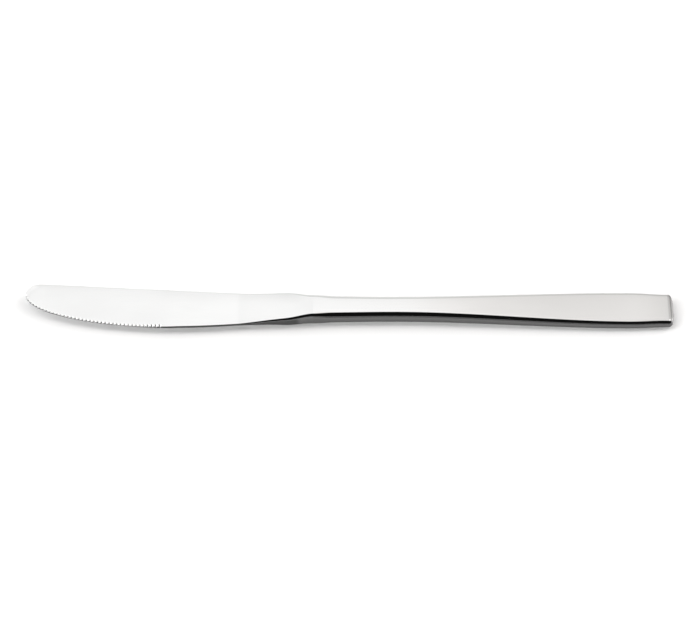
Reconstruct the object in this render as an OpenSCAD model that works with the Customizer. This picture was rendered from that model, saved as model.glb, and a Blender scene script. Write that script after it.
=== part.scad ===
// Stainless table knife with a flat hollow handle, lying on its side.
// +X runs from the blade's tip to the handle's end, +Y points to the spine and +Z is up.
// The origin is on the flat underside of the handle, halfway along the handle.
// Stations along the handle are measured from its mouth, those along the blade from its tip.

/* [Overall] */
// Length of the blade, from its tip to the mouth of the handle
blade_l = 104.5; // [84:0.5:125]
// Length of the handle, from its mouth to its end
handle_l = 130.5; // [107:0.5:156]

/* [Blade outline] */
// Height of the straight spine above the long axis, where it meets the tip
spine_tip_y = 11.6; // [9.4:0.1:13.9]
// Height of the spine above the long axis, where the heel starts
spine_heel_y = 6.7; // [5.5:0.1:8]
// Height of the spine above the long axis, where the bolster's shoulder starts
spine_bolster_y = 6.2; // [5.2:0.1:7.4]
// Height of the foremost point of the tip above the long axis
tip_y = 6.8; // [5.6:0.1:8.2]
// Length of the round nose, from the tip along the spine
nose_l = 5.2; // [4.2:0.1:6.3]
// Depth of the belly below the long axis, at its lowest
belly_y = 8.6; // [7:0.1:10.3]
// Distance from the tip to the lowest point of the belly
belly_l = 53; // [43:0.5:63]
// Depth of the edge below the long axis, where the bolster's shoulder starts
edge_bolster_y = 6.6; // [5.4:0.1:7.8]

/* [Blade thickness] */
// Thickness of the spine next to the tip
spine_tip_t = 1.3; // [1:0.05:1.6]
// Thickness of the spine in front of the heel
spine_heel_t = 1.9; // [1.6:0.05:2.3]
// Thickness of the toothed edge
tooth_edge_t = 0.4; // [0.3:0.02:0.5]
// Thickness of the plain edge behind the teeth
plain_edge_t = 1; // [0.8:0.05:1.2]
// Length of the heel, where the blade thickens towards the handle
heel_l = 27.5; // [22:0.5:33]
// Length of the bolster's shoulder, where the heel narrows to the mouth of the handle
shoulder_l = 10; // [8:0.1:12]

/* [Teeth] */
// Distance from one tooth to the next along the edge
tooth_pitch = 1.4; // [1.15:0.05:1.7]
// Depth of the gap between two teeth
tooth_depth = 0.24; // [0.2:0.02:0.28]
// Radius of the grinding groove that forms a gap
groove_r = 0.6; // [0.5:0.02:0.72]
// Length of the edge that is toothed, measured from the tip
toothed_l = 50; // [41:0.5:60]

/* [Handle] */
// Width of the handle at its mouth, where the bolster meets it
mouth_w = 10.8; // [9.4:0.1:12.9]
// Width of the handle at its waist
waist_w = 10.1; // [8.8:0.1:10.8]
// Width of the handle where it is widest
swell_w = 15.5; // [12.9:0.1:18.6]
// Width of the handle just before its rounded end
end_w = 14.3; // [12:0.1:17.1]
// Thickness of the handle at its mouth and waist
neck_t = 5.6; // [4.8:0.1:6.7]
// Thickness of the handle at its end
end_t = 3.9; // [3.3:0.1:4.7]
// Length of the rounded end
end_round_l = 2.4; // [2:0.1:2.9]
// Wall of the two handle shells
shell_wall = 0.7; // [0.6:0.02:0.84]

/* [Tang] */
// Length of the tang inside the handle
tang_l = 62; // [51:0.5:74]
// Width of the tang where it leaves the bolster
tang_w = 6; // [5:0.1:7.2]
// Width of the tang at its free end
tang_end_w = 4.2; // [3.5:0.1:5]
// Thickness of the tang
tang_t = 2.4; // [2:0.05:2.9]
// Depth of the notches that key the tang into the filling
notch_depth = 0.7; // [0.5:0.05:0.84]

/* [Hidden] */

// Where the handle is narrowest and widest, as shares of its length
waist_share = 0.218;
swell_share = 0.88;
// Where the handle starts and stops thinning, as shares of its length
thin_start_share = 0.25;
thin_stop_share = 0.927;
// Roundness of the narrow sides, as shares of half the thickness
mouth_round_share = 0.68;
grip_round_share = 0.94;
spine_round_share = 0.3;
edge_round_share = 0.15;
// Length over which the mouth's sides become as round as the grip's, as a share of the handle
side_blend_share = 0.06;
// How far the rounding of the handle's end goes before it stops at a small blunt face
end_reach_share = 0.996;
// Sharpness of the belly's sweep, of the edge's rise behind it, of the start and the settling
// of the heel's thickening, and of the handle's end, as exponents
belly_power = 1.9;
rise_power = 2.1;
ramp_power = 1.35;
settle_power = 1.15;
end_power = 3;
// Where the edge starts and stops growing round behind the teeth, as shares of the belly's length
round_start_share = 0.95;
round_stop_share = 1.1;
// Where the toothed edge's thinness ends, as shares of the belly's length
thin_edge_share = 0.7;
thick_edge_share = 1.02;
// Steps of the lofted skins
blade_steps = 28;
nose_steps = 8;
handle_steps = 28;
end_steps = 8;
heel_steps = 16;
corner_steps = 5;
// Steps that measure the edge for the teeth
edge_steps = 120;
// Number of the first groove: the pitch at the very point stays plain
first_groove = 1;
// Lean of the grinding grooves away from upright
groove_lean = 60;
groove_fn = 24;
// Number of notches on each side of the tang and their round form
notch_count = 3;
notch_fn = 32;
notch_first_share = 0.3;
notch_last_share = 0.8;
// How far the tang reaches into the bolster that it is forged with
tang_root = neck_t / 2;
// How far the cavity's cut runs past the seam and the mouth
overrun = shell_wall / 2;
// Length of a grinding groove, and the stretch of edge whose direction it follows
groove_l = spine_heel_t * 4;
groove_near = tooth_pitch / 4;

mouth_x = -handle_l / 2;
tip_x = mouth_x - blade_l;
mid_z = neck_t / 2;
heel_start = blade_l - heel_l;
shoulder_start = blade_l - shoulder_l;
heel_run = shoulder_start - heel_start;
waist_x = waist_share * handle_l;
swell_x = swell_share * handle_l;
side_blend_l = side_blend_share * handle_l;

// Eased step from 0 to 1 that is level at both ends
function clamp01(u) = min(max(u, 0), 1);
function ease(u) = clamp01(u) * clamp01(u) * (3 - 2 * clamp01(u));
function blend(a, b, u) = a + (b - a) * ease(u);
function between(a, b, u) = a + (b - a) * clamp01(u);

// Spine of the blade at a station from the tip: a quarter round at the nose, a straight line,
// and a curve in the heel that starts along the line and ends along the handle
function nose_drop(s) = s < nose_l ? 1 - sqrt(1 - pow(1 - s / nose_l, 2)) : 0;
function spine_line(s) = between(spine_tip_y, spine_heel_y, s / heel_start);
function spine_heel(u) = blend(spine_heel_y, spine_bolster_y, u)
    - (spine_tip_y - spine_heel_y) / heel_start * heel_run * u * (1 - u) * (1 - u);
function spine_y(s) =
    s > heel_start
        ? spine_heel(clamp01((s - heel_start) / heel_run))
            + (mouth_w / 2 - spine_bolster_y) * ease(shoulder_way(s))
        : spine_line(s) - (spine_tip_y - tip_y) * nose_drop(s);

// Edge of the blade at a station from the tip: one sweep to the belly, a rise along the heel,
// and the shoulder's turn to the mouth
function sweep(s) = sqrt(1 - pow(clamp01(1 - s / belly_l), belly_power));
function rise(u) = 1 - pow(1 - pow(clamp01(u), rise_power), 2);
function edge_y(s) =
    s < belly_l
        ? tip_y - (tip_y + belly_y) * sweep(s)
        : -belly_y + (belly_y - edge_bolster_y) * rise((s - belly_l) / (shoulder_start - belly_l))
            + (edge_bolster_y - mouth_w / 2) * ease(shoulder_way(s));

// Share of the way from blade thickness to handle thickness at a station from the tip
function shoulder_way(s) = (s - shoulder_start) / shoulder_l;
function flare(s) =
    1 - pow(1 - pow(clamp01((s - heel_start) / heel_l), ramp_power), settle_power);
function thin_spine_t(s) = between(spine_tip_t, spine_heel_t, s / heel_start);
function thin_edge_t(s) = blend(tooth_edge_t, plain_edge_t,
    (s / belly_l - thin_edge_share) / (thick_edge_share - thin_edge_share));
function spine_t(s) = thin_spine_t(s) + (neck_t - thin_spine_t(s)) * flare(s);
function edge_t(s) = thin_edge_t(s) + (neck_t - thin_edge_t(s)) * flare(s);
function spine_round(s) = blend(spine_round_share, mouth_round_share, shoulder_way(s));
function edge_round(s) = blend(edge_round_share, mouth_round_share,
    (s / belly_l - round_start_share) / (round_stop_share - round_start_share));

// Half width, half thickness and side roundness of the handle at a station from its mouth
function full_w(x) =
    x < waist_x ? blend(mouth_w, waist_w, x / waist_x) / 2
    : x < swell_x ? blend(waist_w, swell_w, (x - waist_x) / (swell_x - waist_x)) / 2
    : blend(swell_w, end_w, (x - swell_x) / (handle_l - end_round_l - swell_x)) / 2;
function full_t(x) = blend(neck_t, end_t,
    (x / handle_l - thin_start_share) / (thin_stop_share - thin_start_share)) / 2;
function side_round(x) = blend(mouth_round_share, grip_round_share, x / side_blend_l);

// The same skin drawn in by an inset, with its rounded end
function end_way(x, inset) = clamp01((x - handle_l + end_round_l) / (end_round_l - inset));
function end_share(x, inset) =
    pow(1 - pow(end_reach_share * end_way(x, inset), end_power), 1 / end_power);
function skin_w(x, inset) = (full_w(x) - inset) * end_share(x, inset);
function skin_t(x, inset) = (full_t(x) - inset) * end_share(x, inset);

// Stations of the handle's skin: even steps, then closer ones round the end
function handle_stations(inset) = concat(
    [for (i = [0 : handle_steps - 1]) i / handle_steps * (handle_l - end_round_l)],
    [for (i = [0 : end_steps])
        handle_l - end_round_l + (end_round_l - inset) * sin(i / end_steps * 90)]);

// Stations of the blade's skin: close ones round the nose, even steps, close ones in the heel
function blade_stations() = concat(
    [for (i = [1 : nose_steps]) nose_l * (1 - cos(i / (nose_steps + 1) * 90))],
    [for (i = [0 : blade_steps - 1]) nose_l + i / blade_steps * (heel_start - nose_l)],
    [for (i = [0 : heel_steps]) heel_start + i / heel_steps * heel_l]);

// Quarter round about a centre, starting at an angle
function corner(y, z, r, start) = [for (i = [0 : corner_steps])
    [y + r * cos(start + i / corner_steps * 90), z + r * sin(start + i / corner_steps * 90)]];

// Upper half of a handle section, which ends at the seam or a little below it
function half_section(w, t, r, below) = concat(
    [[w, -below]], corner(w - r, t - r, r, 0), corner(r - w, t - r, r, 90), [[-w, -below]]);
function whole_section(w, t, r) = concat(
    corner(w - r, t - r, r, 0), corner(r - w, t - r, r, 90),
    corner(r - w, r - t, r, 180), corner(w - r, r - t, r, 270));

// Section of the blade, thicker at the spine than at the edge
function blade_section(s) = let (
    top = spine_y(s), low = edge_y(s), spine_h = spine_t(s) / 2, edge_h = edge_t(s) / 2,
    room = (top - low) / 2,
    r = min(spine_h * spine_round(s), room),
    q = min(edge_h * edge_round(s), room))
    concat(corner(top - r, spine_h - r, r, 0), corner(low + q, edge_h - q, q, 90),
        corner(low + q, q - edge_h, q, 180), corner(top - r, r - spine_h, r, 270));

// Solid skinned over rings that all have the same number of points
module loft(rings) {
    n = len(rings[0]);
    m = len(rings);
    sides = [for (j = [0 : m - 2], i = [0 : n - 1]) each [
        [j * n + i, (j + 1) * n + i, (j + 1) * n + (i + 1) % n],
        [j * n + i, (j + 1) * n + (i + 1) % n, j * n + (i + 1) % n]]];
    front = [for (i = [0 : n - 1]) i];
    back = [for (i = [n - 1 : -1 : 0]) (m - 1) * n + i];
    polyhedron(points = [for (ring = rings) each ring], faces = concat([front], sides, [back]));
}

// Half of the handle's body, drawn in by an inset: the face half, or the back half as its mirror
// image about the seam
module half_body(side, inset, below, lead) {
    rings = [for (x = concat(lead > 0 ? [-lead] : [], handle_stations(inset))) let (
        t = skin_t(x, inset), w = skin_w(x, inset), r = min(t * side_round(x), w),
        ring = [for (p = half_section(w, t, r, below)) [mouth_x + x, p[0], full_t(x) + side * p[1]]])
        side > 0 ? ring : [for (i = [len(ring) - 1 : -1 : 0]) ring[i]]];
    loft(rings);
}

module half_shell(side) {
    difference() {
        half_body(side, 0, 0, 0);
        half_body(side, shell_wall, overrun, overrun);
    }
}

module cavity() {
    loft([for (x = handle_stations(shell_wall)) let (
        t = skin_t(x, shell_wall), w = skin_w(x, shell_wall), r = min(t * side_round(x), w))
        [for (p = whole_section(w, t, r)) [mouth_x + x, p[0], full_t(x) + p[1]]]]);
}

// Flat tang, tapered and notched on both sides so that the filling holds it
module tang() {
    taper = (tang_w - tang_end_w) / 2 / tang_l;
    translate([mouth_x, 0, mid_z - tang_t / 2]) linear_extrude(tang_t) difference() {
        polygon([[-tang_root, tang_w / 2], [-tang_root, -tang_w / 2], [0, -tang_w / 2],
            [tang_l, -tang_end_w / 2], [tang_l, tang_end_w / 2], [0, tang_w / 2]]);
        for (i = [0 : notch_count - 1], side = [-1, 1]) {
            x = tang_l * between(notch_first_share, notch_last_share, i / (notch_count - 1));
            translate([x, side * (tang_w / 2 - taper * x)]) circle(notch_depth, $fn = notch_fn);
        }
    }
}

// Edge points at equal turns of the sweep, with the length of edge from the tip to each
edge_stations = [for (i = [0 : edge_steps]) toothed_l * (1 - cos(i / edge_steps * 90))];
function step_length(i) = norm([edge_stations[i] - edge_stations[i - 1],
    edge_y(edge_stations[i]) - edge_y(edge_stations[i - 1])]);
edge_runs = [for (i = 0, run = 0; i <= edge_steps;
    i = i + 1, run = run + (i > edge_steps ? 0 : step_length(i))) [run, edge_stations[i]]];
tooth_count = floor(edge_runs[edge_steps][0] / tooth_pitch);

// Leaning groove, ground from the face, that leaves a gap in the edge
module groove(s) {
    turn = atan2(edge_y(s + groove_near) - edge_y(s - groove_near), 2 * groove_near);
    translate([tip_x + s, edge_y(s), mid_z]) rotate([0, 0, turn]) rotate([-groove_lean, 0, 0])
        translate([0, tooth_depth * cos(groove_lean) - groove_r, 0])
            cylinder(r = groove_r, h = groove_l, center = true, $fn = groove_fn);
}

module blade() color("silver") {
    difference() {
        translate([tip_x, 0, mid_z])
            loft([for (s = blade_stations()) [for (p = blade_section(s)) [s, p[0], p[1]]]]);
        for (k = [first_groove : tooth_count - 1]) groove(lookup((k + 1 / 2) * tooth_pitch, edge_runs));
    }
    tang();
}

module handle_face_shell() color("gainsboro") half_shell(1);

module handle_back_shell() color("lightgray") half_shell(-1);

module handle_filling() color("tan") {
    difference() {
        cavity();
        tang();
    }
}

blade();
handle_face_shell();
handle_back_shell();
handle_filling();
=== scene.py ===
# %% [markdown]
# A polished stainless table knife lies on its side. The real one is made of four pieces: a forged
# blade with its bolster and tang, two pressed half shells that make the hollow handle, and the
# set filling inside. A mirror finish shows every facet, so each piece that can be seen is made
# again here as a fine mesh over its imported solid, from the same outline and the same sizes.

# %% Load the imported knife
import math

import bmesh
import bpy
import numpy as np
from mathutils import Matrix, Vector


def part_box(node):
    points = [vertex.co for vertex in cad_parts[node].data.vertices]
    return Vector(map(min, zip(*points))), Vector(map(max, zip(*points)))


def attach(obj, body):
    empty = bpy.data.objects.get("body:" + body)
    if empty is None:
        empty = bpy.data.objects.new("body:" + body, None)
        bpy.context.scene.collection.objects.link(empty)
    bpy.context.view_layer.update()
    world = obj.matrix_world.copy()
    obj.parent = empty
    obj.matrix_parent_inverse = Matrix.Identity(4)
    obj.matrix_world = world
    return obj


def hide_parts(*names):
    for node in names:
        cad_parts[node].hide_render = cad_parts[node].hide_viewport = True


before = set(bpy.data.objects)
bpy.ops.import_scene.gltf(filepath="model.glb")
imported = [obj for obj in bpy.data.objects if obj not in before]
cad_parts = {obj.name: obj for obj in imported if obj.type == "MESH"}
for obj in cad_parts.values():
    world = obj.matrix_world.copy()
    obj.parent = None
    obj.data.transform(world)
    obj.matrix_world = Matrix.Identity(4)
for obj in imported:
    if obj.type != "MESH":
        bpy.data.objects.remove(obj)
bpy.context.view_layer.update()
print("packed nodes:", ", ".join(sorted(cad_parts)))

# %% [markdown]
# The outline of the knife is a handful of curves over the distance from the tip or from the
# handle's mouth. They could be splines drawn by hand. Formulas are used instead, since they give
# the same outline as the solids and can be read at any fineness. They are in millimetres, and
# turn into metres only when a mesh is made.

# %% Sizes, in millimetres
MM = 0.001
BLADE_L, HANDLE_L = 104.5, 130.5
SPINE_TIP_Y, SPINE_HEEL_Y, SPINE_BOLSTER_Y, TIP_Y = 11.6, 6.7, 6.2, 6.8
NOSE_L, BELLY_Y, BELLY_L, EDGE_BOLSTER_Y = 5.2, 8.6, 53.0, 6.6
HEEL_L, SHOULDER_L = 27.5, 10.0
SPINE_TIP_T, SPINE_HEEL_T, TOOTH_EDGE_T, PLAIN_EDGE_T = 1.3, 1.9, 0.4, 1.0
MOUTH_W, WAIST_W, SWELL_W, END_W = 10.8, 10.1, 15.5, 14.3
NECK_T, END_T, END_ROUND_L, SHELL_WALL = 5.6, 3.9, 2.4, 0.7
MOUTH_X = -HANDLE_L / 2
TIP_X = MOUTH_X - BLADE_L
MID_Z = NECK_T / 2
HEEL_START, SHOULDER_START = BLADE_L - HEEL_L, BLADE_L - SHOULDER_L
HEEL_RUN = SHOULDER_START - HEEL_START
WAIST_X, SWELL_X = 0.218 * HANDLE_L, 0.88 * HANDLE_L
THIN_START, THIN_STOP = 0.25 * HANDLE_L, 0.927 * HANDLE_L
MOUTH_ROUND, GRIP_ROUND, SPINE_ROUND, EDGE_ROUND = 0.68, 0.94, 0.3, 0.15
SWEEP_POWER, RISE_POWER, FLARE_POWER, FLARE_END_POWER = 1.9, 2.1, 1.35, 1.15
PLAIN_FROM, PLAIN_RUN = 0.7, 0.32
print("knife from", TIP_X, "to", HANDLE_L / 2, "mm")


# %% Curves of the outline
def clamp(u):
    return np.clip(u, 0.0, 1.0)


def ease(u):
    return clamp(u) ** 2 * (3 - 2 * clamp(u))


def blend(a, b, u):
    return a + (b - a) * ease(u)


def between(a, b, u):
    return a + (b - a) * clamp(u)


def shoulder_way(s):
    return (s - SHOULDER_START) / SHOULDER_L


def spine_y(s):
    line = between(SPINE_TIP_Y, SPINE_HEEL_Y, s / HEEL_START)
    nose = 1 - np.sqrt(1 - clamp(1 - s / NOSE_L) ** 2)
    u = clamp((s - HEEL_START) / HEEL_RUN)
    run_in = (SPINE_TIP_Y - SPINE_HEEL_Y) / HEEL_START * HEEL_RUN * u * (1 - u) ** 2
    turn = (MOUTH_W / 2 - SPINE_BOLSTER_Y) * ease(shoulder_way(s))
    heel = blend(SPINE_HEEL_Y, SPINE_BOLSTER_Y, u) - run_in + turn
    return np.where(s > HEEL_START, heel, line - (SPINE_TIP_Y - TIP_Y) * nose)


def edge_y(s):
    sweep = np.sqrt(1 - clamp(1 - s / BELLY_L) ** SWEEP_POWER)
    u = clamp((s - BELLY_L) / (SHOULDER_START - BELLY_L))
    rise = (BELLY_Y - EDGE_BOLSTER_Y) * (1 - (1 - u**RISE_POWER) ** 2)
    turn = (EDGE_BOLSTER_Y - MOUTH_W / 2) * ease(shoulder_way(s))
    return np.where(s < BELLY_L, TIP_Y - (TIP_Y + BELLY_Y) * sweep, -BELLY_Y + rise + turn)


def half_width(x):
    front = blend(MOUTH_W, WAIST_W, x / WAIST_X)
    grip = blend(WAIST_W, SWELL_W, (x - WAIST_X) / (SWELL_X - WAIST_X))
    last = blend(SWELL_W, END_W, (x - SWELL_X) / (HANDLE_L - END_ROUND_L - SWELL_X))
    return np.where(x < WAIST_X, front, np.where(x < SWELL_X, grip, last)) / 2


print("blade at its belly:", round(float(spine_y(BELLY_L) - edge_y(BELLY_L)), 2), "mm wide")


# %% Curves of the thickness
def flare(s):
    way = clamp((s - HEEL_START) / HEEL_L)
    return 1 - (1 - way**FLARE_POWER) ** FLARE_END_POWER


def spine_t(s):
    thin = between(SPINE_TIP_T, SPINE_HEEL_T, s / HEEL_START)
    return thin + (NECK_T - thin) * flare(s)


def edge_t(s):
    thin = blend(TOOTH_EDGE_T, PLAIN_EDGE_T, (s / BELLY_L - PLAIN_FROM) / PLAIN_RUN)
    return thin + (NECK_T - thin) * flare(s)


def half_thickness(x):
    return blend(NECK_T, END_T, (x - THIN_START) / (THIN_STOP - THIN_START)) / 2


print("spine at the heel:", round(float(spine_t(HEEL_START)), 2), "mm thick")

# %% [markdown]
# A skin is a row of rings with the same number of points, joined ring by ring. Blender could
# loft curves with a modifier, but rings from an array give full control of where the points
# lie, which matters at teeth of less than half a millimetre.


# %% A skin over rings of points
MERGE = 0.0001
SHARP = math.radians(38)


def skin(name, rings, marks):
    columns, points, _ = rings.shape
    index = np.arange(columns * points).reshape(columns, points)
    ahead = np.roll(index, -1, axis=1)
    quads = np.stack([index[:-1], index[1:], ahead[1:], ahead[:-1]], axis=-1)
    mesh = bpy.data.meshes.new(name)
    mesh.from_pydata((rings.reshape(-1, 3) * MM).tolist(), [], quads.reshape(-1, 4).tolist())
    for mark, values in marks.items():
        layer = mesh.attributes.new(mark, "FLOAT", "POINT")
        layer.data.foreach_set("value", values.ravel().astype(np.float32))
    return mesh


def finished(name, mesh, body, node):
    bm = bmesh.new()
    bm.from_mesh(mesh)
    bmesh.ops.remove_doubles(bm, verts=bm.verts, dist=MM * MERGE)
    bmesh.ops.recalc_face_normals(bm, faces=bm.faces)
    if bm.calc_volume(signed=True) < 0:
        bmesh.ops.reverse_faces(bm, faces=bm.faces)
    open_edges = sum(not e.is_manifold for e in bm.edges)
    bm.to_mesh(mesh)
    volume = bm.calc_volume() / MM**3
    bm.free()
    mesh.shade_smooth()
    mesh.set_sharp_from_angle(angle=SHARP)
    piece = bpy.data.objects.new(name, mesh)
    bpy.context.scene.collection.objects.link(piece)
    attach(piece, body)
    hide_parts(node)
    print(name, len(mesh.polygons), "faces,", round(volume), "mm3,", open_edges, "open edges")
    return piece


# %% [markdown]
# The narrow sides of the real knife look darker than its faces, because they mirror a dark
# part of the room that is out of sight. The light alone could do that, but not all of it. So
# the points on the narrow sides carry a mark, which comes in over the turn of the rounded
# corner: there the steel is a little more satin, and its colour is darkened, a painted dark
# reflection. The mark reaches a little further under the knife than over it, as painted shade
# where the lower side mirrors the shadow under the knife.

# %% The mark of a narrow side: more satin, and a painted dark reflection
# The turn over which the painted dark reflection comes in; under the knife it starts earlier, as
# painted shade.
PAINTED_SIDE_FROM, PAINTED_SIDE_TO, PAINTED_SHADE_UNDER_TURN = math.radians(50), math.radians(62), math.radians(9)


def narrow_side_satin_and_painted_dark(turn):
    return ease((turn - PAINTED_SIDE_FROM) / (PAINTED_SIDE_TO - PAINTED_SIDE_FROM))


print("side mark at 56 degrees:", round(float(narrow_side_satin_and_painted_dark(math.radians(56))), 2))

# %% [markdown]
# The toothed edge of the real blade is ground with a wheel that leans over, so each groove runs
# up the face and leaves a gap in the edge. Cutting with boolean cylinders would work, but leaves
# ragged triangles beside a mirror. Here the height of the face is lowered to the wheel's round
# floor where that is deeper, and the edge steps back where the wheel went through.

# %% The wheel's grooves along the edge
TOOTH_PITCH, TOOTH_DEPTH, WHEEL_R, TOOTHED_L = 1.4, 0.24, 0.6, 50.0
LEAN = math.radians(60)
WHEEL_BACK = WHEEL_R - TOOTH_DEPTH * math.cos(LEAN)
STEPS_PER_TOOTH = 12
FINE_STEPS, NEAR = 8001, 0.02


def run_along(side_y, length):
    fine = length * np.linspace(0, 1, FINE_STEPS) ** 2
    points = np.stack([fine, side_y(fine)], axis=-1)
    steps = np.linalg.norm(np.diff(points, axis=0), axis=-1)
    return np.concatenate([[0], np.cumsum(steps)]), points


def walk(run, points, at):
    def place(where):
        where = np.clip(where, 0, run[-1])
        return np.stack([np.interp(where, run, points[:, k]) for k in (0, 1)], axis=-1)
    way = place(at + NEAR) - place(at - NEAR)
    return place(at), way / np.linalg.norm(way, axis=-1, keepdims=True)


edge_run, edge_points = run_along(edge_y, BLADE_L)
spine_run, spine_points = run_along(spine_y, BLADE_L)
toothed_run = float(np.interp(TOOTHED_L, edge_points[:, 0], edge_run))
tooth_count = int(toothed_run // TOOTH_PITCH)
print("edge", round(float(edge_run[-1]), 1), "mm, teeth:", tooth_count)


# %% Depth of a groove
def from_groove(run):
    k = np.clip(np.floor(run / TOOTH_PITCH), 0, tooth_count - 1)
    return run - (k + 0.5) * TOOTH_PITCH


def groove_reach(along):
    return np.sqrt(np.maximum(WHEEL_R**2 - along**2, 0))


def groove_floor(along, inward):
    rise = math.cos(LEAN) * (inward + WHEEL_BACK * math.cos(LEAN)) - groove_reach(along)
    floor = WHEEL_BACK * math.sin(LEAN) + rise / math.sin(LEAN)
    return np.where(np.abs(along) < WHEEL_R, floor, NECK_T)


def groove_gap(along, height):
    drop = (height - WHEEL_BACK * math.sin(LEAN)) * math.sin(LEAN)
    gap = (drop + groove_reach(along)) / math.cos(LEAN) - WHEEL_BACK * math.cos(LEAN)
    return np.where(np.abs(along) < WHEEL_R, np.maximum(gap, 0), 0)


print("gap in the edge:", round(float(groove_gap(0.0, -TOOTH_EDGE_T / 2)), 2), "mm deep")

# %% [markdown]
# The blade's columns run from the edge to the spine. They could stand square to the knife all
# the way, but at the tip they would cut the round nose into slivers. So they start at the tip
# and fan out until they are square behind the belly. They are a twelfth of a tooth apart along
# the teeth and wider behind them.

# %% Columns of the blade
PLAIN_STEPS, HEEL_STEPS = 34, 80

tooth_runs = np.arange(0, toothed_run, TOOTH_PITCH / STEPS_PER_TOOTH)
heel_run = float(np.interp(HEEL_START, edge_points[:, 0], edge_run))
plain_runs = np.linspace(toothed_run, heel_run, PLAIN_STEPS)
heel_runs = np.linspace(heel_run, edge_run[-1], HEEL_STEPS)[1:]
runs = np.concatenate([tooth_runs, plain_runs, heel_runs])
spine_runs = runs * spine_run[-1] / edge_run[-1]

edge_place, edge_way = walk(edge_run, edge_points, runs)
spine_place, spine_way = walk(spine_run, spine_points, spine_runs)
square = ease((edge_place[:, :1] - BELLY_L) / (HEEL_START - BELLY_L))
edge_in = np.stack([-edge_way[:, 1], edge_way[:, 0]], axis=-1) * (1 - square) + [0, 1] * square
spine_in = np.stack([spine_way[:, 1], -spine_way[:, 0]], axis=-1) * (1 - square) - [0, 1] * square
edge_in /= np.linalg.norm(edge_in, axis=-1, keepdims=True)
spine_in /= np.linalg.norm(spine_in, axis=-1, keepdims=True)
edge_in[0] = spine_in[0] = [1, 0]
print("columns:", len(runs))

# %% Heights and corners of the blade
NOSE_RUN = 10.0
EDGE_TURN_FROM, EDGE_TURN_RUN = 0.95, 0.15
FACE_BOW = 0.2

shoulder = shoulder_way(edge_place[:, 0])
edge_turn = (edge_place[:, 0] / BELLY_L - EDGE_TURN_FROM) / EDGE_TURN_RUN
edge_h = edge_t(edge_place[:, 0]) / 2
edge_r = edge_h * blend(EDGE_ROUND, MOUTH_ROUND, edge_turn)
spine_h = blend(edge_h[0], spine_t(spine_place[:, 0]) / 2, spine_runs / NOSE_RUN)
spine_r = spine_h * blend(blend(EDGE_ROUND, SPINE_ROUND, spine_runs / NOSE_RUN),
                          MOUTH_ROUND, shoulder)
bow = FACE_BOW * (1 - ease(shoulder)) * ease(runs / NOSE_RUN)
print("spine corner up to", round(float(spine_r.max()), 2), "mm")

# %% [markdown]
# In a column the points crowd at the two rounded corners and in the millimetre and a half that
# the wheel reaches, and spread over the flat between. The real faces are ground a little full,
# so the points of the face rise in a shallow bow. A subdivided cage would do that too, but it
# would also soften the teeth.


# %% Corners and reach of one face
CORNER_STEPS, REACH_STEPS, FLAT_STEPS = 9, 10, 10
REACH = 1.4
TOOTH_SKIN = 0.02


def corner_profile(height, radius):
    turn = np.linspace(0, math.pi / 2, CORNER_STEPS)
    inward = radius[:, None] * (1 - np.sin(turn))
    level = height[:, None] - radius[:, None] * (1 - np.cos(turn))
    return inward[:, ::-1], level[:, ::-1]


def reach_in(height, radius, reach_steps):
    inward, level = corner_profile(height, radius)
    reach = radius[:, None] + np.linspace(0, 1, reach_steps + 1)[1:] * REACH
    flat = np.repeat(height[:, None], reach_steps, axis=1)
    return np.concatenate([inward, reach], axis=1), np.concatenate([level, flat], axis=1)


def spine_points_in(slope, reach_steps):
    inward, level = reach_in(spine_h, spine_r, reach_steps)
    return inward, level - slope * np.maximum(inward - spine_r[:, None], 0)


def edge_points_in(slope, reach_steps):
    along = from_groove(runs)[:, None]
    gap = groove_gap(along, -edge_h[:, None] + TOOTH_SKIN)
    gap = np.where(runs[:, None] > toothed_run, 0, gap)
    inward, _ = reach_in(edge_h, edge_r, reach_steps)
    full = edge_r[:, None] + REACH
    inward = gap + inward * (full - gap) / full
    into = np.clip(edge_r[:, None] - inward, 0, edge_r[:, None])
    rounded = edge_h[:, None] - edge_r[:, None] + np.sqrt(edge_r[:, None] ** 2 - into**2)
    level = rounded + slope * np.maximum(inward - edge_r[:, None], 0)
    floor = np.where(runs[:, None] > toothed_run, NECK_T, groove_floor(along, inward))
    return inward, level, np.maximum(floor, -level + TOOTH_SKIN)


print("points across a face:", 2 * (CORNER_STEPS + REACH_STEPS) + FLAT_STEPS - 1)

# %% One face of the blade
SHOULDER_FADE, FADE_FROM, FADE_RUN = 0.1, 0.35, 0.25


# Marks the narrow sides for a little more roughness and for a darker colour, a painted dark
# reflection.
def side_satin_and_painted_reflection_mark(upper, reach_steps):
    turn = np.linspace(math.pi / 2, 0, CORNER_STEPS) + (0 if upper else PAINTED_SHADE_UNDER_TURN)
    corner = np.concatenate([narrow_side_satin_and_painted_dark(turn), np.zeros(reach_steps)])
    mark = np.concatenate([corner, np.zeros(FLAT_STEPS - 1), corner[::-1]])
    return mark * (1 - SHOULDER_FADE * ease((shoulder[:, None] - FADE_FROM) / FADE_RUN))


def set_in(place, inward_way, inward, level):
    flat = place[:, None] + inward_way[:, None] * inward[..., None]
    return np.concatenate([flat, level[..., None]], axis=-1)


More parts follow.
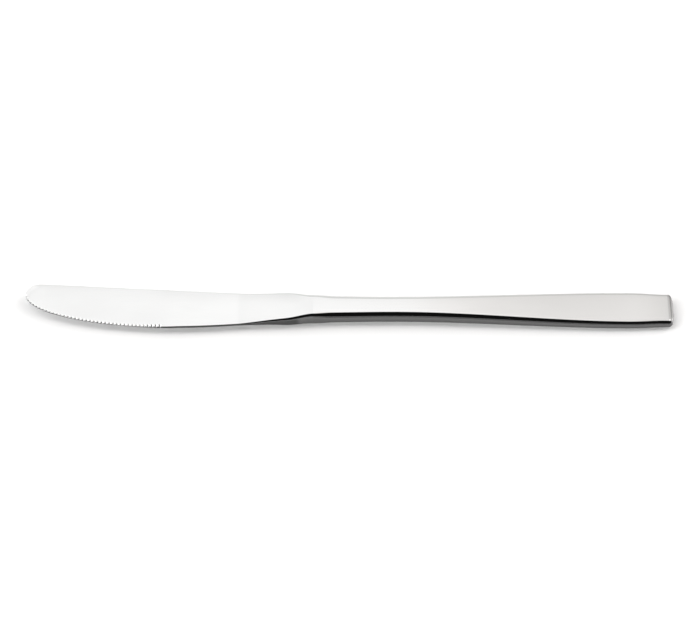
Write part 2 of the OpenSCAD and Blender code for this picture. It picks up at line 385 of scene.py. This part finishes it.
def face_points(upper, reach_steps):
    foot = edge_place + edge_in * edge_r[:, None]
    head = spine_place + spine_in * spine_r[:, None]
    span = np.maximum(np.linalg.norm(head - foot, axis=-1), 2 * REACH)[:, None]
    slope = (spine_h - edge_h)[:, None] / span
    spine_side = set_in(spine_place, spine_in, *spine_points_in(slope, reach_steps))
    inward, level, floor = edge_points_in(slope, reach_steps)
    ground = (floor < level) & upper
    edge_side = set_in(edge_place, edge_in, inward, np.where(ground, floor, level))
    across = np.linspace(0, 1, FLAT_STEPS + 1)[1:-1][None, :, None]
    flat = spine_side[:, -1:] * (1 - across) + edge_side[:, -1:] * across
    points = np.concatenate([spine_side, flat, edge_side[:, ::-1]], axis=1)
    share = np.linalg.norm(points[..., :2] - points[:, :1, :2], axis=-1)
    share = clamp(share / np.maximum(share[:, -1:], MM))
    points[..., 2] += bow[:, None] * 4 * share * (1 - share)
    mark = np.zeros(points.shape[:2])
    mark[:, -ground.shape[1]:] = ground[:, ::-1]
    return points, mark, side_satin_and_painted_reflection_mark(upper, reach_steps)


upper = face_points(True, REACH_STEPS)
print("upper face:", upper[0].shape[:2], "points,", int(upper[1].sum()), "of them ground")

# %% Rings round the blade
LOWER_REACH_STEPS = 2

lower = face_points(False, LOWER_REACH_STEPS)
lower[0][..., 2] *= -1
# The side mark goes into the mesh as an attribute: a painted dark reflection on the narrow sides.
blade_rings, ground_mark, blade_side_satin_and_painted_reflection = (
    np.concatenate([over, under[:, ::-1]], axis=1) for over, under in zip(upper, lower))
blade_rings += [TIP_X, 0, MID_Z]
low_corner, high_corner = (np.array(corner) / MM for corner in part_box("blade"))
fit = (low_corner[0] - MOUTH_X) / (TIP_X - MOUTH_X)
blade_rings[..., 0] = MOUTH_X + fit * (blade_rings[..., 0] - MOUTH_X)
blade_rings[..., 1] = np.clip(blade_rings[..., 1], low_corner[1], high_corner[1])
print("blade rings:", blade_rings.shape, "fitted to the solid by", round(float(fit), 5))

# %% [markdown]
# The blade goes on as a flat tang inside the handle, with notches that the filling grips. It
# can't be seen, but the piece would be false without it. The bolster's end face could be a
# plain cap with the tang pushed through it. It is filled between its own rim and the root of
# the tang instead, so that the blade stays one closed piece.

# %% Tang and end face
TANG_L, TANG_W, TANG_END_W, TANG_T, NOTCH_R = 62.0, 6.0, 4.2, 2.4, 0.7
NOTCH_SHARES = (0.3, 0.55, 0.8)
NOTCH_STEPS = 10


def tang_outline():
    upper = [(0.0, TANG_W / 2)]
    taper = (TANG_W - TANG_END_W) / 2 / TANG_L
    for share in NOTCH_SHARES:
        x = TANG_L * share
        for turn in np.linspace(math.pi, 2 * math.pi, NOTCH_STEPS):
            upper.append((x + NOTCH_R * math.cos(turn),
                          TANG_W / 2 - taper * x + NOTCH_R * math.sin(turn)))
    upper.append((TANG_L, TANG_END_W / 2))
    return upper + [(x, -y) for x, y in reversed(upper)]


def add_tang(mesh, rim):
    bm = bmesh.new()
    bm.from_mesh(mesh)
    bm.verts.ensure_lookup_table()
    rim_edges = [bm.edges.get((bm.verts[a], bm.verts[b])) for a, b in zip(rim, rim[1:] + rim[:1])]
    outline = tang_outline()
    low, high = ([bm.verts.new(((MOUTH_X + x) * MM, y * MM, (MID_Z + side * TANG_T / 2) * MM))
                  for x, y in outline] for side in (-1, 1))
    bm.faces.new(high)
    bm.faces.new(low[::-1])
    for i in range(len(outline) - 1):
        bm.faces.new([low[i], low[i + 1], high[i + 1], high[i]])
    root = [low[-1], low[0], high[0], high[-1]]
    root_edges = [bm.edges.get((a, b)) or bm.edges.new((a, b))
                  for a, b in zip(root, root[1:] + root[:1])]
    bmesh.ops.triangle_fill(bm, use_beauty=True, edges=rim_edges + root_edges, normal=(1, 0, 0))
    bm.to_mesh(mesh)
    bm.free()


columns, around, _ = blade_rings.shape
blade_mesh = skin("blade_skin", blade_rings, {"ground": ground_mark, "side": blade_side_satin_and_painted_reflection})
add_tang(blade_mesh, [(columns - 1) * around + i for i in range(around)])
blade = finished("blade_skin", blade_mesh, "root", "blade")

# %% [markdown]
# Each half shell is a strip of sheet pressed into a trough. Its ring is a C: over the outside
# from seam to seam, then back along the inside. The pressed sheet is not quite flat on top, so
# a slight crown is taken off towards the sides, and the face sinks a little over its last
# centimetre. Both bend the long reflections as on the real handle, which a flat face would
# show as one even tone. The lower half keeps its flat, because the knife rests on it.

# %% Rings of a half shell
HANDLE_STEPS, END_STEPS, SIDE_STEPS, TOP_STEPS = 150, 36, 22, 14
CROWN, END_SINK, END_SINK_L = 0.06, 0.19, 14.0
END_REACH, END_POWER = 0.9999, 3.0
MOUTH_BLEND_L = 0.06 * HANDLE_L
TINY = 1e-6


def skin_size(x, inset):
    way = clamp((x - HANDLE_L + END_ROUND_L) / (END_ROUND_L - inset))
    share = (1 - (END_REACH * way) ** END_POWER) ** (1 / END_POWER)
    return (half_width(x) - inset) * share, (half_thickness(x) - inset) * share


def half_ring(x, inset, crown, end_sink):
    width, height = (size[:, None] for size in skin_size(x, inset))
    radius = np.minimum(height * blend(MOUTH_ROUND, GRIP_ROUND, x / MOUTH_BLEND_L)[:, None], width)
    turn = np.linspace(0, math.pi / 2, SIDE_STEPS)
    level = height - radius * (1 - np.sin(turn))
    across = width - radius * (1 - np.cos(turn))
    flat = np.linspace(1, -1, TOP_STEPS + 2)[1:-1] * (width - radius)
    y = np.concatenate([width, across, flat, -across[:, ::-1], -width], axis=1)
    z = np.concatenate([0 * width, level, np.repeat(height, TOP_STEPS, axis=1),
                        level[:, ::-1], 0 * width], axis=1)
    bow = (y / np.maximum(width, TINY)) ** 2
    sink = end_sink * clamp(1 - (HANDLE_L - x) / END_SINK_L)[:, None] ** 2
    return y, z - (crown * bow + sink) * z / np.maximum(height, TINY)


straight = np.linspace(0, HANDLE_L - END_ROUND_L, HANDLE_STEPS)
round_end = END_ROUND_L * np.sin(np.linspace(0, math.pi / 2, END_STEPS)[1:])
shell_x = np.concatenate([straight, HANDLE_L - END_ROUND_L + round_end])
print("rings along the handle:", len(shell_x))

# %% [markdown]
# The end of the handle is rounded over in all directions. Its rim would flash white from the
# light at the side, where the real knife shows a thin grey line. So the rim gets the mark of the
# narrow sides too, a painted dark reflection over that flash, wherever the skin drops off by
# more than a few degrees, and loses half of it again where the upper shell stands upright.

# %% The mark of the handle's end rim, a painted dark reflection
RIM_FROM, RIM_TO, RIM_TURN = math.radians(8), math.radians(20), math.radians(45)
RIM_FADE = 0.5


def shell_satin_and_painted_reflection_mark(side):
    turn = np.concatenate([[math.pi / 2], np.linspace(math.pi / 2, 0, SIDE_STEPS),
                           np.zeros(TOP_STEPS // 2)])
    turn = np.concatenate([turn, turn[::-1]])
    narrowing, thinning = (-np.gradient(size, shell_x)[:, None] for size in skin_size(shell_x, 0.0))
    drop = np.arctan(narrowing * np.sin(turn) + thinning * np.cos(turn))
    # The rim's mark darkens its colour in place of the white flash: a painted dark reflection.
    rim = ease((drop - RIM_FROM) / (RIM_TO - RIM_FROM))
    rim = rim * (1 - RIM_FADE * max(side, 0) * ease((drop - RIM_TURN) / RIM_FROM))
    mark = np.maximum(narrow_side_satin_and_painted_dark(turn + (PAINTED_SHADE_UNDER_TURN if side < 0 else 0)), rim)
    return np.concatenate([mark, 0 * mark], axis=1)


print("marks round a shell:", shell_satin_and_painted_reflection_mark(1).shape)


# %% The two shells
def shell_rings(side, crown, end_sink):
    halves = []
    for x, inset in ((shell_x, 0.0), (shell_x * (HANDLE_L - SHELL_WALL) / HANDLE_L, SHELL_WALL)):
        y, z = half_ring(x, inset, crown, end_sink)
        long_x = np.repeat(x[:, None], y.shape[1], axis=1)
        halves.append(np.stack([long_x, y, half_thickness(x)[:, None] + side * z], axis=-1))
    return np.concatenate([halves[0], halves[1][:, ::-1]], axis=1) + [MOUTH_X, 0, 0]


def make_shell(name, side, crown, end_sink, node):
    rings = shell_rings(side, crown, end_sink)
    columns, around, _ = rings.shape
    mesh = skin(name, rings, {"side": shell_satin_and_painted_reflection_mark(side)})
    bm = bmesh.new()
    bm.from_mesh(mesh)
    bm.verts.ensure_lookup_table()
    half = around // 2
    outer = [bm.verts[i] for i in range(half)]
    inner = [bm.verts[i] for i in range(around - 1, half - 1, -1)]
    for i in range(half - 1):
        bm.faces.new([outer[i], outer[i + 1], inner[i + 1], inner[i]])
    last = [bm.verts[(columns - 1) * around + i] for i in range(around)]
    bm.faces.new(last[:half])
    bm.faces.new(last[half:])
    bm.faces.new([last[0], last[half - 1], last[half], last[-1]])
    bm.to_mesh(mesh)
    bm.free()
    return finished(name, mesh, "root", node)


face_shell = make_shell("handle_face_skin", 1, CROWN, END_SINK, "handle_face_shell")
back_shell = make_shell("handle_back_skin", -1, 0.0, 0.0, "handle_back_shell")

# %% [markdown]
# Materials could be wired by hand in the shader editor. Here they are wired by code, because
# shader maths is easier to read as Python than as a tangle of nodes. A small class stands for a
# node's output and turns plus, minus and times into Math nodes. Every other node is made by one
# method.


# %% Shader maths as Python
class Wire:
    def __init__(self, shop, socket):
        self.shop, self.socket = shop, socket

    def math(self, operation, first, second):
        return self.shop.node("ShaderNodeMath", {"operation": operation}, {0: first, 1: second})

    def __add__(self, other):
        return self.math("ADD", self, other)

    __radd__ = __add__

    def __sub__(self, other):
        return self.math("SUBTRACT", self, other)

    def __rsub__(self, other):
        return self.math("SUBTRACT", other, self)

    def __mul__(self, other):
        return self.math("MULTIPLY", self, other)

    __rmul__ = __mul__

    def __neg__(self):
        return self * -1.0

    def __abs__(self):
        return self.math("ABSOLUTE", self, 0.0)

    def soft(self, start, stop):
        return self.shop.node(
            "ShaderNodeMapRange", {"interpolation_type": "SMOOTHSTEP"},
            {"Value": self, "From Min": start, "From Max": stop})


print("operators: + - * abs")


# %% Nodes from one method
class Shop:
    def __init__(self, tree):
        self.tree = tree
        tree.nodes.clear()

    def node(self, kind, settings=None, sockets=None, out=0):
        made = self.tree.nodes.new(kind)
        for name, value in (settings or {}).items():
            setattr(made, name, value)
        for key, value in (sockets or {}).items():
            if isinstance(value, Wire):
                self.tree.links.new(value.socket, made.inputs[key])
            else:
                made.inputs[key].default_value = value
        return Wire(self, made.outputs[out]) if made.outputs else None

    def parts(self, vector):
        split = self.node("ShaderNodeSeparateXYZ", sockets={"Vector": vector})
        return [Wire(self, split.socket.node.outputs[axis]) for axis in "XYZ"]

    def mix(self, share, first, second):
        return self.node("ShaderNodeMix", {"data_type": "RGBA"},
                         {0: share, 6: first, 7: second}, out=2)

    def noise(self, place, scale, detail=3.0, rough=0.5):
        return self.node("ShaderNodeTexNoise", sockets={
            "Vector": place, "Scale": scale, "Detail": detail, "Roughness": rough})

    def stretched(self, place, scale):
        return self.noise(self.node("ShaderNodeMapping", sockets={
            "Vector": place, "Scale": scale}), 1.0)

    def mark(self, name):
        return self.node("ShaderNodeAttribute", {"attribute_name": name}, out="Fac")


def new_material(name):
    material = bpy.data.materials.new(name)
    material.use_nodes = True
    return material, Shop(material.node_tree)


def toned(color, tone=1.0):
    return (*[c * tone for c in color], 1.0)


print("a tone at a half:", toned((1.0, 1.0, 1.0), 0.5))

# %% [markdown]
# Polished cutlery steel is a plain metal with a low roughness. What tells it from chrome is the
# trace of the polishing wheel: very fine lines along the knife, and patches that are a little
# hazier. Painted pictures could show them, but stretched noise does it at any size. The ground
# floors of the teeth are rougher, and their colour is darkened to dim their glint, which is
# painted shade. The narrow sides are a little more satin, and their darker colour is a painted
# dark reflection.

# %% Polished steel
STEEL = (0.81, 0.81, 0.805)
LINE_SCALE, PATCH_SCALE = (60.0, 2600.0, 2600.0), (30.0, 120.0, 120.0)
PATCH_TONE, TONE_RANGE, HAZE_RANGE = 0.975, (0.35, 0.65), (0.3, 0.7)
HAZE, LINE_ROUGH, GROUND_ROUGH, SIDE_ROUGH = 0.03, 0.02, 0.2, 0.12
# Painted shade: how far and how dark the teeth's ground floors are toned down, to dim their glint.
GROUND_PAINTED_DIM_SHARE, GROUND_PAINTED_DIM_TONE = 0.5, 0.4
LINE_BUMP, LINE_DEPTH = 0.02, 0.00002


def polished_steel(name, side_painted_reflection_tone, roughness):
    material, shop = new_material(name)
    place = shop.node("ShaderNodeTexCoord", out="Object")
    lines, patches = shop.stretched(place, LINE_SCALE), shop.stretched(place, PATCH_SCALE)
    ground, side = shop.mark("ground"), shop.mark("side")
    base = shop.mix(patches.soft(*TONE_RANGE), toned(STEEL, PATCH_TONE), toned(STEEL))
    # Painted shade on the ground floors of the teeth, dimming their glint.
    base = shop.mix(ground * GROUND_PAINTED_DIM_SHARE, base, toned(STEEL, GROUND_PAINTED_DIM_TONE))
    # Painted dark reflection: the narrow sides' colour is darkened by the side mark.
    base = shop.mix(side, base, toned(STEEL, side_painted_reflection_tone))
    rough = roughness + HAZE * patches.soft(*HAZE_RANGE) + LINE_ROUGH * lines
    rough = rough + GROUND_ROUGH * ground + SIDE_ROUGH * side
    bump = shop.node("ShaderNodeBump", sockets={
        "Strength": LINE_BUMP, "Distance": LINE_DEPTH, "Height": lines})
    shop.node("ShaderNodeOutputMaterial", sockets={"Surface": shop.node(
        "ShaderNodeBsdfPrincipled", sockets={
            "Base Color": base, "Metallic": 1.0, "Roughness": rough, "Normal": bump})})
    return material


# The side tones given here darken the narrow sides: a painted dark reflection.
blade_steel = polished_steel("blade_steel_polished", side_painted_reflection_tone=0.1, roughness=0.05)
handle_steel = polished_steel("handle_steel_polished", side_painted_reflection_tone=0.18, roughness=0.06)
blade.data.materials.append(blade_steel)
face_shell.data.materials.append(handle_steel)
back_shell.data.materials.append(handle_steel)
print("steels:", blade_steel.name, handle_steel.name)

# %% [markdown]
# The filling is sealed inside the handle, where nobody sees it. A fine mesh of it would be
# wasted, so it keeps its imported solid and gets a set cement: two tones of grey beige, sandy,
# with pores.

# %% Set filling
CEMENT_DARK, CEMENT_LIGHT = (0.52, 0.48, 0.41), (0.66, 0.62, 0.54)
SAND_SCALE, SAND_DETAIL, SAND_HARD, SAND_RANGE = 900.0, 4.0, 0.6, (0.4, 0.65)
CLOUD_SCALE, CEMENT_ROUGH, CLOUD_ROUGH = 90.0, 0.75, 0.2
PORE_BUMP, PORE_DEPTH = 0.5, 0.0002


def set_filling():
    material, shop = new_material("filling_cement")
    place = shop.node("ShaderNodeTexCoord", out="Object")
    sand = shop.noise(place, SAND_SCALE, SAND_DETAIL, SAND_HARD)
    clouds = shop.noise(place, CLOUD_SCALE)
    base = shop.mix(sand.soft(*SAND_RANGE), toned(CEMENT_DARK), toned(CEMENT_LIGHT))
    bump = shop.node("ShaderNodeBump", sockets={
        "Strength": PORE_BUMP, "Distance": PORE_DEPTH, "Height": sand})
    shop.node("ShaderNodeOutputMaterial", sockets={"Surface": shop.node(
        "ShaderNodeBsdfPrincipled", sockets={
            "Base Color": base, "Roughness": CEMENT_ROUGH + CLOUD_ROUGH * clouds,
            "Normal": bump})})
    return material


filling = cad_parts["handle_filling"]
filling.data.materials.clear()
filling.data.materials.append(set_filling())
print("filling:", filling.data.materials[0].name)

# %% [markdown]
# The knife lies on a plain matt board. In the photograph the board is nearly white and the
# shadow beside the knife soft and pale. A lamp could lift the shadow, but it would show in the
# steel. So a small share of plain white glow is mixed into the board where it is seen, by the
# camera or in a mirror, and left out of the light that it throws on anything matt.

# %% Pale matt board
BOARD_SIZE = 8.0
BOARD_GLOW, BOARD_ROUGH, BOARD_TONE = 0.14, 0.9, 0.97
WHITE = (1.0, 1.0, 1.0)


def pale_board():
    material, shop = new_material("pale_board")
    matt = shop.node("ShaderNodeBsdfPrincipled", sockets={
        "Base Color": toned(WHITE, BOARD_TONE), "Roughness": BOARD_ROUGH})
    glow = shop.node("ShaderNodeEmission", sockets={"Color": toned(WHITE), "Strength": 1.0})
    seen = sum(shop.node("ShaderNodeLightPath", out=f"Is {ray} Ray")
               for ray in ("Camera", "Glossy", "Transmission"))
    shop.node("ShaderNodeOutputMaterial", sockets={"Surface": shop.node(
        "ShaderNodeMixShader", sockets={0: BOARD_GLOW * seen, 1: matt, 2: glow})})
    return material


board_mesh = bpy.data.meshes.new("board")
reach = BOARD_SIZE / 2
board_mesh.from_pydata([(-reach, -reach, 0), (reach, -reach, 0), (reach, reach, 0),
                        (-reach, reach, 0)], [], [(0, 1, 2, 3)])
board = bpy.data.objects.new("board", board_mesh)
bpy.context.scene.collection.objects.link(board)
board.data.materials.append(pale_board())
print("board:", BOARD_SIZE, "m")

# %% [markdown]
# A mirror shows its surroundings, so the light is drawn as a room: a wide soft sky behind the
# knife that fades and turns a little warmer towards the handle's end, more light above its two
# sides, a bright wing on the left and on the right, and a dark side in front, from just past
# the zenith nearly down to the table. Lamps would show as hard shapes in the steel. A world
# with soft borders gives the long clean bands that the photograph has. Each border is a pair of
# numbers: a direction's part along X, or its lean in degrees from straight up to the viewer.

# %% The room
SKY, OVERHEAD, FAR_LOW, LEFT_WING, RIGHT_WING = 1.2, 1.2, 0.7, 3.0, 4.2
DARK, LOW_FRONT = 0.005, 0.45
FRONT_LEFT, FRONT_RIGHT = (0.45, 0.7), (0.85, 1.0)
PAST_ZENITH, NEAR_TABLE, BEHIND, ABOVE = (3.0, 8.0), (69.0, 75.0), (-52.0, -38.0), (-33.0, -22.0)
END_LOSS, END_SPAN, LATE_LOSS, LATE_SPAN = 0.23, (0.0, 0.13), 0.26, (0.105, 0.2)
TIP_LOSS, TIP_SPAN, HEEL_GAIN, HEEL_SPAN = 0.05, (0.03, 0.1), 0.02, (0.095, 0.13)
ABOVE_SPAN, LEFT_SPAN, LEFT_LEAN, RIGHT_SPAN = (0.15, 0.3), (0.35, 0.65), (-25.0, 5.0), (0.45, 0.8)
WARM, WARM_SPAN = (1.0, 0.98, 0.965), (-0.01, 0.08)


def room():
    world = bpy.data.worlds.new("studio")
    bpy.context.scene.world = world
    world.use_nodes = True
    shop = Shop(world.node_tree)
    x, y, z = shop.parts(shop.node("ShaderNodeTexCoord", out="Generated"))
    lean = shop.node("ShaderNodeMath", {"operation": "ARCTAN2"}, {0: -y, 1: z})
    lean = lean * (180 / math.pi)
    front = 1 - (-x).soft(*FRONT_LEFT) - x.soft(*FRONT_RIGHT)
    past, low = lean.soft(*PAST_ZENITH), lean.soft(*NEAR_TABLE)
    dark, dim = past * (1 - low) * front, low * front
    to_end = (1 - END_LOSS * x.soft(*END_SPAN)) * (1 - LATE_LOSS * x.soft(*LATE_SPAN))
    to_tip = 1 - TIP_LOSS * (-x).soft(*TIP_SPAN) + HEEL_GAIN * (-x).soft(*HEEL_SPAN)
    falling = FAR_LOW + (1 - FAR_LOW) * lean.soft(*BEHIND)
    overhead = 1 + OVERHEAD * lean.soft(*ABOVE) * abs(x).soft(*ABOVE_SPAN)
    panel = SKY * to_end * to_tip * falling * overhead
    left = (-x).soft(*LEFT_SPAN) * lean.soft(*LEFT_LEAN)
    right = x.soft(*RIGHT_SPAN) * (1 - past)
    sky = panel * (1 - left - right) + LEFT_WING * left + RIGHT_WING * right
    light = sky * (1 - dark - dim) + DARK * dark + LOW_FRONT * dim
    color = shop.mix(x.soft(*WARM_SPAN) * (1 - past), toned(WHITE), toned(WARM))
    shop.node("ShaderNodeOutputWorld", sockets={"Surface": shop.node(
        "ShaderNodeBackground", sockets={"Color": color, "Strength": light})})


room()
bpy.context.scene.view_settings.view_transform = "Standard"
print("sky", SKY, "dark side", DARK)

# %% [markdown]
# The photograph was taken from about 50 degrees above the table with a long lens, so the knife
# shows almost no perspective. A flat view without perspective would come close, but a real lens
# keeps the small change of direction along the knife that its reflections follow. The lens is
# worked out from the size of the knife in the frame.

# %% Camera
FRAME_W = 693
FOCAL_PX, DISTANCE, ELEVATION = 3500.0, 1.27, 50.0
AIM = (-0.05315, 0.00148, 0.0)
SENSOR, FAR_CLIP = 36.0, 50.0


def camera():
    data = bpy.data.cameras.new("camera")
    data.sensor_width = SENSOR
    data.lens = FOCAL_PX / FRAME_W * data.sensor_width
    data.clip_end = FAR_CLIP
    made = bpy.data.objects.new("camera", data)
    bpy.context.scene.collection.objects.link(made)
    tilt = math.radians(ELEVATION)
    made.location = (AIM[0], AIM[1] - DISTANCE * math.cos(tilt), AIM[2] + DISTANCE * math.sin(tilt))
    made.rotation_euler = (math.pi / 2 - tilt, 0, 0)
    bpy.context.scene.camera = made
    return data.lens


print("lens", round(camera(), 1), "mm")
